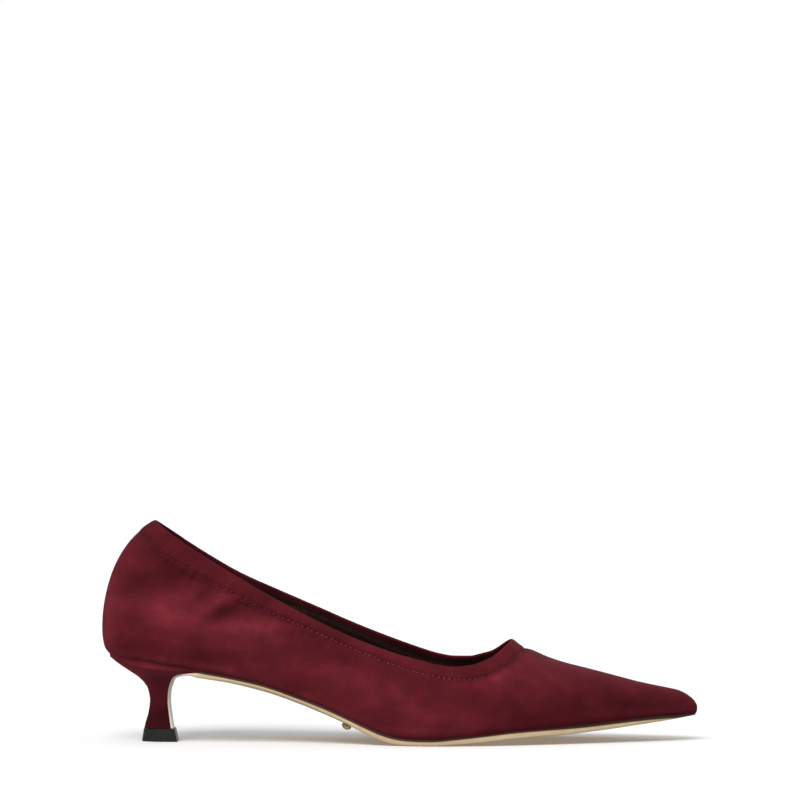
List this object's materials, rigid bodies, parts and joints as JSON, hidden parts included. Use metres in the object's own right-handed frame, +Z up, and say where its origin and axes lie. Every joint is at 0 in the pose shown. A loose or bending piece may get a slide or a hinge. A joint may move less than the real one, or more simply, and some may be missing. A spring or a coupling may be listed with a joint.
{
  "type": "kitten heel pump",
  "caption": "Right-foot slip-on dress pump with a pointed toe, low curved kitten heel, suede upper, elastic topline and thin leather sole.",
  "frame": {"origin": "centre of the shoe's box in plan, on the floor it stands on", "axes": "+X towards the toe, -Y towards the outer (lateral) side of the foot, +Z up"},
  "size_m": [0.268, 0.0799, 0.0995],
  "materials": {
    "suede": "matte burgundy suede with a short nap",
    "lining": "smooth dark lining leather",
    "sole_leather": "smooth tan sole leather, lightly polished",
    "heel_suede": "matte burgundy suede cover over a moulded heel",
    "tip_rubber": "black, satin",
    "stud_metal": "antique, satin"
  },
  "bodies": {
    "root": {"upper": "suede", "insole": "lining", "outsole": "sole_leather", "heel": "heel_suede", "heel_tip": "tip_rubber", "sole_stud": "stud_metal"}
  },
  "joints": []
}
